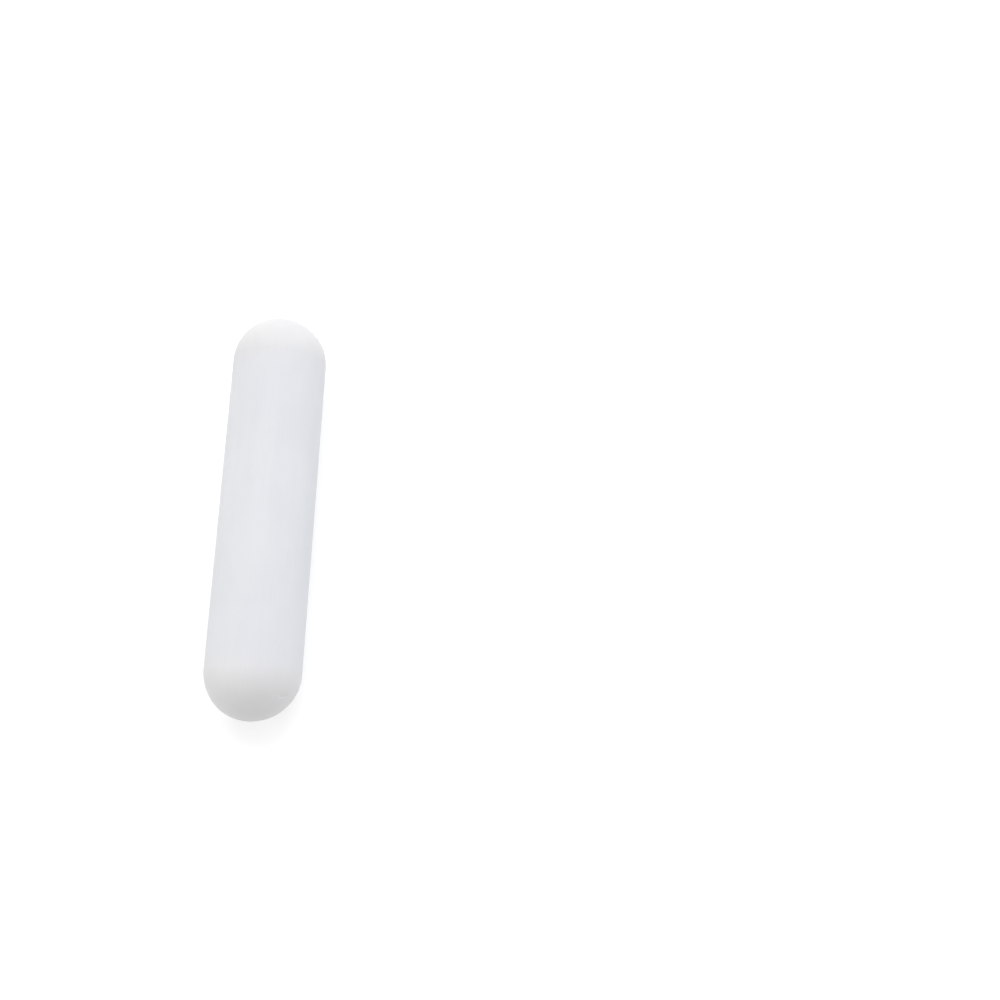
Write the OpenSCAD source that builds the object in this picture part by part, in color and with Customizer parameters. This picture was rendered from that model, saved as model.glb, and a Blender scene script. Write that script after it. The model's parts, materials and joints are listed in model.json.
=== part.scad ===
// Magnetic stir bar: a rod magnet sealed in a one-piece jacket of white PTFE.
// The bar lies along Y with its centre at the origin and has hemispherical ends.
// The two halves of the jacket's mould met in the plane z = 0 and left a fine
// ridge there, along both sides of the barrel and over both ends.

/* [Bar] */
// Diameter of the bar over its jacket
bar_d = 8; // [6:0.5:12]
// Length of the bar from tip to tip
bar_len = 35; // [20:1:80]

/* [Jacket] */
// Thickness of the jacket round the side of the magnet
side_wall = 1.5; // [0.8:0.1:2]
// Thickness of the jacket from the magnet's end to the tip
tip_wall = 3; // [1.5:0.1:6]
// Height of the mould ridge above the jacket
ridge_h = 0.05; // [0.02:0.01:0.2]
// Width of the mould ridge
ridge_w = 0.2; // [0.1:0.05:0.5]

/* [Magnet] */
// Chamfer on the rim at each end of the magnet
rim_chamfer = 0.5; // [0.2:0.1:0.8]

/* [Fit] */
// Gap all round between the magnet and the jacket that shrank onto it
shrink_gap = 0.02; // [0.01:0.01:0.1]

/* [Hidden] */
$fn = 96;

// Half the straight stretch between the centres of the two round ends
end_centre = (bar_len - bar_d) / 2;
// Space that the jacket leaves for the magnet
cavity_d = bar_d - 2 * side_wall;
cavity_len = bar_len - 2 * tip_wall;
magnet_d = cavity_d - 2 * shrink_gap;
magnet_len = cavity_len - 2 * shrink_gap;

// Outline of the bar from above: a straight barrel between two round ends
module bar_outline(d) {
    for (side = [-1, 1])
        translate([0, side * end_centre])
            circle(d = d);
    square([d, 2 * end_centre], center = true);
}

// The bar's outline turned about its own axis
module round_bar() {
    rotate([-90, 0, 0])
        rotate_extrude()
            intersection() {
                bar_outline(bar_d);
                translate([0, -bar_len / 2])
                    square([bar_d / 2, bar_len]);
            }
}

// A thin plate of the bar's outline in the plane where the mould halves met
module mould_ridge() {
    linear_extrude(ridge_w, center = true)
        bar_outline(bar_d + 2 * ridge_h);
}

// A rod along Y whose end rims are chamfered
module chamfered_rod(d, len) {
    r = d / 2;
    half = len / 2;
    rotate([-90, 0, 0])
        rotate_extrude()
            polygon([
                [0, -half],
                [r - rim_chamfer, -half],
                [r, rim_chamfer - half],
                [r, half - rim_chamfer],
                [r - rim_chamfer, half],
                [0, half]
            ]);
}

// Jacket moulded and fused round the magnet, with no opening
module ptfe_jacket() {
    color("#e8ebef")
        difference() {
            union() {
                round_bar();
                mould_ridge();
            }
            chamfered_rod(cavity_d, cavity_len);
        }
}

// Cast rod magnet, magnetised along its length
module magnet_core() {
    color("#5f6063")
        chamfered_rod(magnet_d, magnet_len);
}

ptfe_jacket();
magnet_core();
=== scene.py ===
"""A magnetic stir bar of 8 x 35 mm on a plain pale floor.

The jacket is one moulded skin of white PTFE with hemispherical ends, and the
rod magnet is sealed inside it. All lengths are in metres, in the frame of the
part: the bar lies along Y and its mould parted in the plane z = 0.
"""
import json
import math

import bpy
import numpy as np
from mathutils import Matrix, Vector


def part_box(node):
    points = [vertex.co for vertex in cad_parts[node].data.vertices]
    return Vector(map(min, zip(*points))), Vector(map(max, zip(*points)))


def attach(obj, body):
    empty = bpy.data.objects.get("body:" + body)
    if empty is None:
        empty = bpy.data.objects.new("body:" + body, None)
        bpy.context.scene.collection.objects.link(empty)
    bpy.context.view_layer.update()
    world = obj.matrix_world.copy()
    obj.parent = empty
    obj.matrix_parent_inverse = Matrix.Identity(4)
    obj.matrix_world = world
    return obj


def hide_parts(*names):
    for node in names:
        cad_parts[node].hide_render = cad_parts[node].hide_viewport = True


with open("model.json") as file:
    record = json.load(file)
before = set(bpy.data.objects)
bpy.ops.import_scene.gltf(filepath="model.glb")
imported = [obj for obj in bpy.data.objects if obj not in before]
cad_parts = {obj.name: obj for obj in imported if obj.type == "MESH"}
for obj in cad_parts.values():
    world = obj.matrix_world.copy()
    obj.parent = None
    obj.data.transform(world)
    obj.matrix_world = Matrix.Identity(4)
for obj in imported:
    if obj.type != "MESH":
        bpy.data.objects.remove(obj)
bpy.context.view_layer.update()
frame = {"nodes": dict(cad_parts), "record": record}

MM = 0.001
nodes = frame["nodes"]

# ---------------------------------------------------------------- sizes

jacket_low, jacket_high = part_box("ptfe_jacket")
magnet_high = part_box("magnet_core")[1]
barrel = frame["record"]["mounts"][0]["dims"]

BAR_R = barrel["r_mm"] * MM
END_Y = barrel["length_mm"] * MM / 2
RIDGE_H = jacket_high.x - BAR_R
RIDGE_W = 0.20 * MM
MAGNET_R = magnet_high.x
MAGNET_END = magnet_high.y
SHRINK_GAP = 0.02 * MM
RIM_CHAMFER = 0.5 * MM
FLOOR_Z = jacket_low.z
SKIN_R = jacket_high.z

rng = np.random.default_rng(35)

QUARTER = math.pi / 2


# ---------------------------------------------------------------- surfaces

GRADED_FINENESS = 40
WAVE_COUNT, WAVE_SPREAD = 9, (1.0, 2.0)


def graded(start, end, steps, spots=()):
    """steps + 1 positions from start to end, closer together round each spot.

    The spacing is one over a density of 1 plus, for each spot (centre, reach,
    gain), gain times a bell curve of that reach, summed along the way.
    """
    fine = np.linspace(start, end, GRADED_FINENESS * steps + 1)
    density = np.ones_like(fine)
    for centre, reach, gain in spots:
        density += gain * np.exp(-((fine - centre) / reach) ** 2)
    total = np.concatenate([[0.0], np.cumsum((density[1:] + density[:-1]) / 2)])
    places = np.interp(np.linspace(0, total[-1], steps + 1), total, fine)
    places[0], places[-1] = start, end
    return places


def slow_waves(points, length):
    """A smooth unevenness from -1 to 1 at each point.

    It is the mean of sine waves that run in random directions through space,
    with wavelengths of length times WAVE_SPREAD, scaled to stay within 1.
    """
    aim = rng.normal(size=(3, WAVE_COUNT))
    aim /= np.linalg.norm(aim, axis=0)
    pitch = length * rng.uniform(*WAVE_SPREAD, WAVE_COUNT)
    phase = rng.uniform(0, 2 * math.pi, WAVE_COUNT)
    waves = np.sin(points @ (aim * (2 * math.pi / pitch)) + phase)
    return np.clip(waves.sum(-1) / math.sqrt(2 * WAVE_COUNT), -1, 1)


def new_mesh(name, points, *face_sets):
    """An object from an array of points and arrays of quads or triangles."""
    mesh = bpy.data.meshes.new(name)
    corners = np.concatenate([f.ravel() for f in face_sets]).astype(np.int32)
    sizes = np.concatenate([np.full(len(f), f.shape[1]) for f in face_sets])
    starts = np.concatenate([[0], np.cumsum(sizes)[:-1]]).astype(np.int32)
    mesh.vertices.add(len(points))
    mesh.vertices.foreach_set("co", points.astype(np.float32).ravel())
    mesh.loops.add(len(corners))
    mesh.loops.foreach_set("vertex_index", corners)
    mesh.polygons.add(len(sizes))
    mesh.polygons.foreach_set("loop_start", starts)
    mesh.update(calc_edges=True)
    mesh.validate()
    made = bpy.data.objects.new(name, mesh)
    bpy.context.scene.collection.objects.link(made)
    return made


def shade_smooth(piece, sharp_from):
    """Smooth shading over the piece, apart from edges steeper than sharp_from."""
    faces = piece.data.polygons
    faces.foreach_set("use_smooth", np.ones(len(faces), bool))
    piece.data.set_sharp_from_angle(angle=sharp_from)


ARC_STEPS, SIDE_STEPS, LIFT_STEPS = 96, 80, 170
CREASE_TURN, CREASE_LIFT = math.radians(37.3), math.radians(24.8)
CREASE_SLANT = math.radians(47.0)
CREASE_DEPTH, CREASE_LEN = 0.042 * MM, 0.92 * MM
CREASE_BELOW, CREASE_ABOVE = 0.09 * MM, 0.36 * MM
CREASE_BOW, CREASE_BOW_PITCH = 0.04 * MM, 2.5

# How far the skin is uneven, and the lengths of the two slow waves in it.
SKIN_UNEVEN = 0.012 * MM
SKIN_WAVES = (4 * MM, 9 * MM)

# The ridge's mean height and waver as shares of RIDGE_H, its drift off the parting
# plane, the lengths of both waves, the radius of the loop that they are read on,
# and how steeply its sides fall.
RIDGE_MEAN, RIDGE_WAVER = 0.72, 0.28
RIDGE_DRIFT = 0.02 * MM
RIDGE_WAVE, DRIFT_WAVE = 5 * MM, 9 * MM
RIDGE_LOOP = 11 * MM
RIDGE_STEEPNESS = 1.6

# Where the mesh closes up: centre, reach and gain of each spot, as graded() takes them.
TURN_SPOTS = [(QUARTER + CREASE_TURN, math.radians(9), 3.0)]
LIFT_SPOTS = [(0.0, math.radians(2.6), 9.0), (CREASE_LIFT, math.radians(6), 3.0)]

SHARP_FROM = math.radians(35)


def outline_half():
    """One side of the bar's outline in the mould's parting plane, far tip to near tip.

    Gives for each place the point on the bar's axis that it is measured from
    (its y) and the turn of the outline's outward direction from +Y towards +X.
    """
    far = graded(0, QUARTER, ARC_STEPS)
    near = graded(QUARTER, 2 * QUARTER, ARC_STEPS, TURN_SPOTS)
    side = np.linspace(END_Y, -END_Y, SIDE_STEPS + 1)
    turn = np.concatenate([far, np.full(SIDE_STEPS - 1, QUARTER), near])
    base = np.concatenate([np.full(ARC_STEPS, END_Y), side, np.full(ARC_STEPS, -END_Y)])
    return base, turn


def mould_ridge(along, lift):
    """Height of the fine ridge where the mould parted.

    A bell curve across the parting plane, as wide as the ridge. Its height and
    its place waver slowly along the outline, as flash trimmed by hand does.
    """
    loop = np.stack([np.cos(along), np.sin(along), np.zeros_like(along)], -1) * RIDGE_LOOP
    height = RIDGE_H * (RIDGE_MEAN + RIDGE_WAVER * slow_waves(loop, RIDGE_WAVE))
    drift = RIDGE_DRIFT * slow_waves(loop, DRIFT_WAVE)
    across = (np.sin(lift) * BAR_R - drift) / (RIDGE_W / 2)
    return height * np.exp(-across ** 2 * RIDGE_STEEPNESS)


def end_crease(turn, lift, right_side):
    """Depth of the short crease pressed into one side of the near end.

    A bell-shaped groove along a slanted, slightly bowed line, measured on the
    skin round the middle of the crease. Its lower wall is the steeper one, and it
    fades out at both of its ends.
    """
    cos, sin = math.cos(CREASE_SLANT), math.sin(CREASE_SLANT)
    sideways = (turn - QUARTER - CREASE_TURN) * math.cos(CREASE_LIFT) * BAR_R
    upward = (lift - CREASE_LIFT) * BAR_R
    along = (sideways * cos + upward * sin) / (CREASE_LEN / 2)
    bow = CREASE_BOW * np.sin(CREASE_BOW_PITCH * along)
    across = upward * cos - sideways * sin - bow
    wall = np.where(across < 0, CREASE_BELOW, CREASE_ABOVE)
    return -CREASE_DEPTH * np.exp(-(across / wall) ** 2) * np.exp(-along ** 4) * right_side


def make_jacket():
    """The jacket's skin, with the wall of the sealed space inside it.

    The skin is a point on the bar's axis plus the bar's radius times a direction:
    the outline's outward direction turned up out of the parting plane by a lift
    from -90 to 90 degrees. The two sides meet on a crest line over the axis, and
    the ridge, the crease and a slight unevenness are added along the direction.
    """
    base, turn = outline_half()
    half = len(base)
    order = np.concatenate([np.arange(half), np.arange(half - 2, 0, -1)])
    side = np.concatenate([np.ones(half), -np.ones(half - 2)])
    lifts = graded(-QUARTER, QUARTER, LIFT_STEPS, LIFT_SPOTS)[1:-1]

    lift, column = np.meshgrid(lifts, order, indexing="ij")
    right = np.broadcast_to(side, lift.shape)
    angle, y = turn[column], base[column]
    heading = np.stack([np.cos(lift) * np.sin(angle) * right,
                        np.cos(lift) * np.cos(angle), np.sin(lift)], -1)
    axis = np.stack([np.zeros_like(y), y, np.zeros_like(y)], -1)

    first, last = ARC_STEPS, half - 1 - ARC_STEPS
    crest_y = base[first:last + 1]
    crest = np.stack([np.zeros_like(crest_y), crest_y, np.zeros_like(crest_y)], -1)
    up = np.broadcast_to([0.0, 0.0, 1.0], crest.shape)

    anchor = np.concatenate([axis.reshape(-1, 3), crest, crest])
    push = np.concatenate([heading.reshape(-1, 3), up, -up])
    skin = anchor + SKIN_R * push
    waves = sum(slow_waves(skin, length) for length in SKIN_WAVES) / len(SKIN_WAVES)
    uneven = SKIN_UNEVEN * (waves - 1) / 2
    around = np.where(side > 0, 1, -1)[None, :] * np.linspace(0, math.pi, half)[column]
    raised = mould_ridge(around, lift) + end_crease(angle, lift, right > 0)
    uneven[:raised.size] += raised.ravel()
    skin = skin + uneven[:, None] * push

    rows, columns = lift.shape
    here = np.arange(columns)
    there = np.roll(here, -1)
    step = np.arange(rows - 1)[:, None] * columns
    walls = np.stack([step + here, step + columns + here,
                      step + columns + there, step + there], -1).reshape(-1, 4)

    spot = np.clip(order, first, last) - first
    top, low = (rows - 1) * columns, 0
    crest_at, keel_at = rows * columns, rows * columns + len(crest_y)
    flat = spot == spot[there]
    caps = np.stack([top + here, crest_at + spot, crest_at + spot[there], top + there], -1)
    keels = np.stack([low + there, keel_at + spot[there], keel_at + spot, low + here], -1)
    strips = np.concatenate([caps[~flat], keels[~flat]])
    fans = np.concatenate([caps[flat][:, [0, 1, 3]], keels[flat][:, [0, 1, 3]]])
    return skin, [walls, strips, fans]


def magnet_space(segments=96):
    """The wall of the sealed space: a rod's profile with chamfered rims, turned about Y.

    Its faces point towards the axis, away from the PTFE.
    """
    r, end = MAGNET_R + SHRINK_GAP, MAGNET_END + SHRINK_GAP
    radius = np.array([r - RIM_CHAMFER, r, r, r - RIM_CHAMFER])
    y = np.array([-end, -end + RIM_CHAMFER, end - RIM_CHAMFER, end])
    turn = np.linspace(0, 2 * math.pi, segments, endpoint=False)
    rings = np.stack([radius[:, None] * np.cos(turn),
                      np.broadcast_to(y[:, None], (4, segments)),
                      radius[:, None] * np.sin(turn)], -1).reshape(-1, 3)
    here, there = np.arange(segments), np.roll(np.arange(segments), -1)
    step = np.arange(3)[:, None] * segments
    walls = np.stack([step + here, step + there,
                      step + segments + there, step + segments + here], -1).reshape(-1, 4)
    near, far = 4 * segments, 4 * segments + 1
    top = 3 * segments
    ends = np.concatenate([np.stack([there, here, np.full(segments, near)], -1),
                           np.stack([top + here, top + there, np.full(segments, far)], -1)])
    points = np.concatenate([rings, [[0, -end, 0], [0, end, 0]]])
    return points, [walls, ends]


skin, skin_faces = make_jacket()
space, space_faces = magnet_space()
jacket = new_mesh("jacket", np.concatenate([skin, space]),
                  *skin_faces, *[f + len(skin) for f in space_faces])
shade_smooth(jacket, SHARP_FROM)
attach(jacket, "root")
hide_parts("ptfe_jacket")


# ---------------------------------------------------------------- finishes

class Field:
    """A value that varies over a surface. Arithmetic on it adds Math nodes."""

    def __init__(self, finish, socket):
        self.finish, self.socket = finish, socket

    def math(self, operation, *values):
        """One Math node on these values."""
        return self.finish.node("ShaderNodeMath", {"operation": operation},
                                dict(enumerate(values)))

    def __add__(self, other):
        return self.math("ADD", self, other)

    def __sub__(self, other):
        return self.math("SUBTRACT", self, other)

    def __rsub__(self, other):
        return self.math("SUBTRACT", other, self)

    def __mul__(self, other):
        return self.math("MULTIPLY", self, other)

    def __abs__(self):
        return self.math("ABSOLUTE", self)

    __radd__, __rmul__ = __add__, __mul__

    def between(self, low, high):
        """0 below low, 1 above high, with a soft step between them."""
        return self.finish.node("ShaderNodeMapRange", {"interpolation_type": "SMOOTHSTEP"},
                                {"Value": self, "From Min": low, "From Max": high})


class Finish:
    """The nodes of one material, or of the room, all added by one method."""

    def __init__(self, owner):
        owner.use_nodes = True
        self.owner, self.tree = owner, owner.node_tree
        self.tree.nodes.clear()

    def node(self, kind, settings=None, inputs=None, output=0):
        """Adds a node: its settings first, then each socket's value or link."""
        made = self.tree.nodes.new(kind)
        for key, value in (settings or {}).items():
            setattr(made, key, value)
        for key, value in (inputs or {}).items():
            if isinstance(value, Field):
                self.tree.links.new(value.socket, made.inputs[key])
            else:
                made.inputs[key].default_value = value
        return Field(self, made.outputs[output]) if len(made.outputs) else None

    def place(self):
        """The point of the part that is shaded, in the part's own frame."""
        return self.node("ShaderNodeTexCoord", output="Object")

    def seen(self):
        """1 where the camera looks, straight, in a gloss or through glass, and 0 for light."""
        straight, gloss, through = [
            self.node("ShaderNodeLightPath", output=ray)
            for ray in ("Is Camera Ray", "Is Glossy Ray", "Is Transmission Ray")]
        return straight + gloss + through

    def grain(self, size, stretch=(1, 1, 1), detail=2.0, rough=0.5):
        """Cloudy noise from 0 to 1 with blotches of that size, longer where stretched."""
        scale = [1 / (size * s) for s in stretch]
        place = self.node("ShaderNodeMapping", {"vector_type": "POINT"},
                          {"Vector": self.place(), "Scale": scale})
        return self.node("ShaderNodeTexNoise", {"noise_dimensions": "3D"},
                         {"Vector": place, "Scale": 1.0, "Detail": detail, "Roughness": rough})

    def blend(self, mask, without, within):
        """One colour where the mask is 0 and the other where it is 1."""
        return self.node("ShaderNodeMix", {"data_type": "RGBA"},
                         {0: mask, 6: without, 7: within}, output=2)

    def bump(self, height, depth, normal=None):
        """Relief of that depth from a height of 0 to 1."""
        inputs = {"Height": height * depth, "Distance": 1.0, "Strength": 1.0}
        if normal is not None:
            inputs["Normal"] = normal
        return self.node("ShaderNodeBump", inputs=inputs)

    def surface(self, inputs):
        """Ends a material in a Principled shader with these values and links."""
        shader = self.node("ShaderNodeBsdfPrincipled", inputs=inputs)
        self.node("ShaderNodeOutputMaterial", inputs={"Surface": shader})
        return self.owner


def sintered_ptfe():
    """White sintered PTFE: waxy, satin and faintly mottled.

    It is neutral at the two ends, and painted a touch cooler over the magnet's
    length: a painted cool tint that stands in for cool light from above. Its
    colour clouds a little, faint flow marks run lengthwise, and fine moulding
    grain breaks the sheen.
    """
    made = Finish(bpy.data.materials.new("sintered_ptfe"))
    along = made.node("ShaderNodeSeparateXYZ", inputs={"Vector": made.place()}, output="Y")
    # Painted light: the cooler tint over the magnet's length stands in for cool light from
    # above.
    painted_cool_tint_mask = 1 - abs(along).between(*PAINTED_TINT_CHANGE)
    clouds = made.grain(CLOUD_SIZE, stretch=CLOUD_STRETCH)
    flow = made.grain(FLOW_WIDTH, stretch=FLOW_STRETCH)
    clear = made.blend(painted_cool_tint_mask, ENDS_WHITE, PAINTED_COOL_WHITE)
    dull = made.blend(painted_cool_tint_mask, ENDS_DULL, PAINTED_COOL_DULL)
    mottle = CLOUD_SHARE * clouds.between(*CLOUD_STEP) + FLOW_SHARE * flow.between(*FLOW_STEP)
    colour = made.blend(mottle, clear, dull)
    speck = made.grain(SPECK_SIZE, rough=0.6)
    scuff = made.grain(SCUFF_WIDTH, stretch=SCUFF_STRETCH, detail=3.0, rough=0.7)
    rough = (PTFE_ROUGH + CLOUD_SHEEN * (clouds - HALF) + SCUFF_SHEEN * (scuff - HALF)
             + SPECK_SHEEN * (speck - HALF))
    relief = made.bump(speck, SPECK_DEPTH, made.bump(scuff, SCUFF_DEPTH))
    return made.surface({
        "Base Color": colour, "Roughness": rough, "Normal": relief,
        "IOR": PTFE_IOR, "Subsurface Weight": PTFE_WAXINESS,
        "Subsurface Radius": PTFE_BLEED, "Subsurface Scale": PTFE_BLEED_SIZE})


def cast_alnico():
    """The magnet as cast: dull grey metal with a pebbly skin."""
    made = Finish(bpy.data.materials.new("cast_alnico"))
    pebbles = made.grain(PEBBLE_SIZE, detail=3.0, rough=0.6)
    patches = made.grain(PATCH_SIZE)
    return made.surface({
        "Base Color": made.blend(patches, ALNICO_DARK, ALNICO_PALE),
        "Roughness": ALNICO_ROUGH + PEBBLE_SHEEN * (pebbles - HALF),
        "Metallic": ALNICO_METALLIC, "Normal": made.bump(pebbles, PEBBLE_DEPTH)})


def pale_floor():
    """A plain white table, seen a step brighter than it is lit and pure white far off."""
    made = Finish(bpy.data.materials.new("pale_floor"))
    away = made.node("ShaderNodeVectorMath", {"operation": "LENGTH"}, {0: made.place()}, "Value")
    lift = FLOOR_LIFT + (1 - FLOOR_LIFT) * away.between(FLOOR_NEAR, FLOOR_FAR)
    return made.surface({
        "Base Color": FLOOR_GREY, "Roughness": 1.0, "Specular IOR Level": 0.0,
        "Emission Color": made.blend(made.seen() * lift, BLACK, WHITE),
        "Emission Strength": 1.0})


# The painted cool tint fades out between these distances from the bar's middle, round the
# magnet's end.
PAINTED_TINT_CHANGE = (MAGNET_END - 2.5 * MM, MAGNET_END + 0.4 * MM)

# Each pattern's size, how far it is drawn out along the bar, the noise levels
# between which it sets in, its share of the mottling and its play in the sheen.
HALF = 0.5
CLOUD_SIZE, FLOW_WIDTH = 3.2 * MM, 0.45 * MM
CLOUD_STRETCH, FLOW_STRETCH, SCUFF_STRETCH = (1, 1.6, 1), (1, 16, 1), (1, 9, 1)
CLOUD_STEP, FLOW_STEP = (0.32, 0.68), (0.30, 0.70)
CLOUD_SHARE, FLOW_SHARE = 0.72, 0.28
CLOUD_SHEEN, SCUFF_SHEEN, SPECK_SHEEN = 0.08, 0.12, 0.08
SPECK_SIZE, SPECK_DEPTH = 0.09 * MM, 0.008 * MM
SCUFF_WIDTH, SCUFF_DEPTH = 0.12 * MM, 0.006 * MM
PTFE_ROUGH, PTFE_IOR = 0.50, 1.36
PTFE_WAXINESS, PTFE_BLEED, PTFE_BLEED_SIZE = 0.5, (1.0, 0.98, 0.96), 0.6 * MM
BLACK, WHITE = (0, 0, 0, 1), (1, 1, 1, 1)
ENDS_WHITE = (0.841, 0.832, 0.842, 1)
ENDS_DULL = (0.811, 0.802, 0.812, 1)
# Painted cool tint for the barrel, standing in for cool light from above; the ends keep the
# neutral white.
PAINTED_COOL_WHITE = (0.825, 0.834, 0.865, 1)
PAINTED_COOL_DULL = (0.796, 0.806, 0.844, 1)

PEBBLE_SIZE, PEBBLE_DEPTH, PEBBLE_SHEEN = 0.25 * MM, 0.02 * MM, 0.3
PATCH_SIZE = 1.6 * MM
ALNICO_DARK, ALNICO_PALE = (0.12, 0.12, 0.125, 1), (0.22, 0.22, 0.225, 1)
ALNICO_ROUGH, ALNICO_METALLIC = 0.45, 0.9

FLOOR_GREY = (0.82, 0.82, 0.82, 1)
FLOOR_LIFT = 0.40
FLOOR_NEAR, FLOOR_FAR = 0.04, 0.16

jacket.data.materials.append(sintered_ptfe())
for slot in nodes["magnet_core"].material_slots:
    slot.material = cast_alnico()


# ---------------------------------------------------------------- stage

FLOOR_HALF = 0.9

floor_mesh = bpy.data.meshes.new("floor")
floor_mesh.from_pydata([(x * FLOOR_HALF, y * FLOOR_HALF, FLOOR_Z)
                        for x, y in ((-1, -1), (1, -1), (1, 1), (-1, 1))],
                       [], [(0, 1, 2, 3)])
floor = bpy.data.objects.new("floor", floor_mesh)
bpy.context.scene.collection.objects.link(floor)
floor_mesh.materials.append(pale_floor())


def sky(level):
    """An even pale room that lights from all round, and is white to the camera."""
    room = bpy.data.worlds.new("room")
    bpy.context.scene.world = room
    made = Finish(room)
    lit = made.node("ShaderNodeBackground", inputs={"Color": WHITE, "Strength": level})
    white = made.node("ShaderNodeBackground", inputs={"Color": WHITE, "Strength": 1.0})
    mixed = made.node("ShaderNodeMixShader", inputs={0: made.seen(), 1: lit, 2: white})
    made.node("ShaderNodeOutputWorld", inputs={"Surface": mixed})


def soft_light(name, bearing, height, far, width, power, tint=(1, 1, 1)):
    """A square soft light that faces the bar from a bearing and a height in degrees.

    Bearing 0 is behind the bar, on its +Y side, and 90 is on its +X side.
    """
    lamp = bpy.data.lights.new(name, "AREA")
    lamp.shape, lamp.size, lamp.energy, lamp.color = "SQUARE", width, power, tint
    made = bpy.data.objects.new(name, lamp)
    turn, lift = math.radians(bearing), math.radians(height)
    toward = Vector((math.sin(turn) * math.cos(lift), math.cos(turn) * math.cos(lift),
                     math.sin(lift)))
    made.location = toward * far
    made.rotation_euler = (-toward).to_track_quat("-Z", "Y").to_euler()
    bpy.context.scene.collection.objects.link(made)


sky(0.625)
soft_light("back_light", bearing=-3, height=52, far=1.20, width=1.10, power=6.55)
soft_light("left_light", bearing=-90, height=20, far=0.60, width=0.40, power=0.331,
           tint=(1.0, 0.983, 0.88))
soft_light("right_light", bearing=60, height=20, far=0.60, width=0.40, power=0.470,
           tint=(0.86, 0.955, 1.0))


SENSOR_WIDTH = 36.0
CLIP_NEAR, CLIP_FAR = 0.005, 5.0


def set_camera(height, heading, aim, away, lens):
    """A camera that looks down at the aim point from a height in degrees.

    A heading of 0 looks along +Y, and it turns towards +X.
    """
    data = bpy.data.cameras.new("camera")
    data.lens, data.sensor_width = lens, SENSOR_WIDTH
    data.clip_start, data.clip_end = CLIP_NEAR, CLIP_FAR
    made = bpy.data.objects.new("camera", data)
    lift, turn = math.radians(height), math.radians(heading)
    look = Vector((math.sin(turn) * math.cos(lift), math.cos(turn) * math.cos(lift),
                   -math.sin(lift)))
    made.location = Vector(aim) - look * away
    made.rotation_mode = "QUATERNION"
    made.rotation_quaternion = look.to_track_quat("-Z", "Y")
    bpy.context.scene.collection.objects.link(made)
    bpy.context.scene.camera = made


set_camera(height=73.49, heading=-2.0, aim=(19.65 * MM, 1.85 * MM, 0),
           away=115.7 * MM, lens=49.13)
bpy.context.scene.view_settings.view_transform = "Standard"
